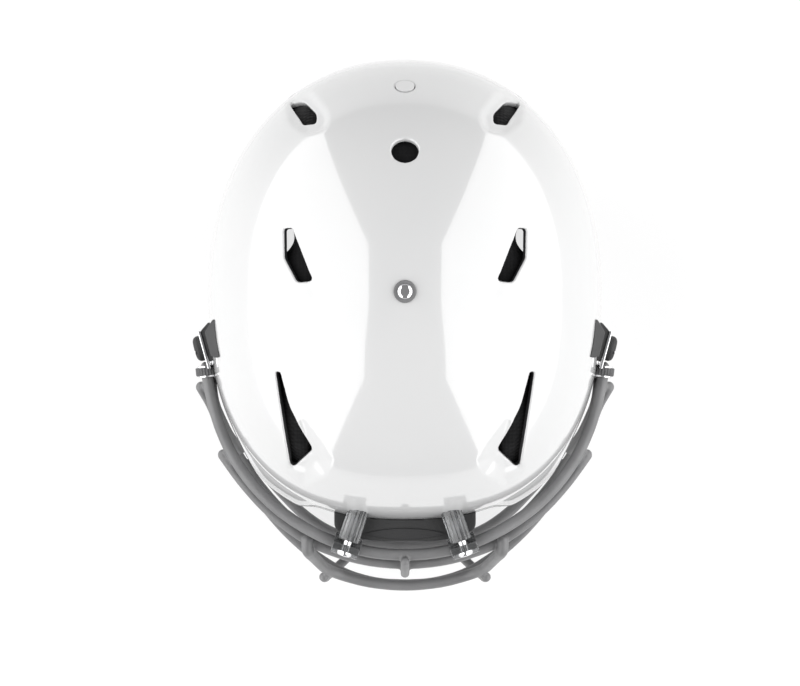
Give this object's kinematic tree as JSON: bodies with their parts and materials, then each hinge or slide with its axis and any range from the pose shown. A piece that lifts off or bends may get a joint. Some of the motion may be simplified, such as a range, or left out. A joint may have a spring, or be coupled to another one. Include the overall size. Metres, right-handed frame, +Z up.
{
  "type": "american football helmet",
  "caption": "Vented hard-shell sports helmet with foam liner pads and a grey wire face guard held by front clips and quarter-turn side releases.",
  "frame": {"origin": "middle of the helmet's box on the surface it rests on", "axes": "+Z up, the face towards -Y, +X towards the wearer's left"},
  "size_m": [0.2534, 0.3277, 0.2438],
  "materials": {
    "shell": "gloss",
    "rubber": "matt",
    "plate": "matt",
    "guard": "satin coating",
    "clear": "clear gloss",
    "knob": "satin",
    "bright": "polished",
    "washer": "satin",
    "steel": "zinc plated",
    "pad": "soft knit cover over foam"
  },
  "bodies": {
    "helmet": {"back_pad": "pad", "brow_bar": "guard", "bumper_plate": "plate", "centre_strut": "guard", "chin_bar": "guard", "chin_strap_snaps": "bright", "crown_nut": "steel", "crown_pad": "pad", "crown_screw": "bright", "crown_washer": "washer", "front_bumper": "rubber", "front_clip_nuts": "steel", "front_clip_screws": "bright", "front_clip_spacers": "clear", "front_pad": "pad", "left_clip_pad": "rubber", "left_front_clip": "clear", "left_front_strut": "guard", "left_jaw_bar": "guard", "left_jaw_pad": "pad", "left_rear_side_pad": "pad", "left_receiver": "steel", "left_side_clip": "clear", "left_side_pad": "pad", "left_socket_grip": "rubber", "left_temple_pad": "pad", "lower_brow_bar": "guard", "lower_chin_bar": "guard", "mouth_bar": "guard", "neck_pad": "pad", "nose_bar": "guard", "rear_bumper": "rubber", "rear_crown_pad": "pad", "rear_plug": "shell", "right_clip_pad": "rubber", "right_front_clip": "clear", "right_front_strut": "guard", "right_jaw_bar": "guard", "right_jaw_pad": "pad", "right_rear_side_pad": "pad", "right_receiver": "steel", "right_side_clip": "clear", "right_side_pad": "pad", "right_socket_grip": "rubber", "right_temple_pad": "pad", "shell": "shell"},
    "left_release": {"left_release_knob": "knob"},
    "right_release": {"right_release_knob": "knob"}
  },
  "joints": [
    {"name": "left_release_turn", "type": "hinge", "parent": "helmet", "child": "left_release", "pos_m": [0.1186, -0.008, 0.14], "axis": [0.9641, -0.2656, 0], "range_deg": [0, 90]},
    {"name": "right_release_turn", "type": "hinge", "parent": "helmet", "child": "right_release", "pos_m": [-0.1186, -0.008, 0.14], "axis": [-0.9641, -0.2656, 0], "range_deg": [0, 90]}
  ]
}
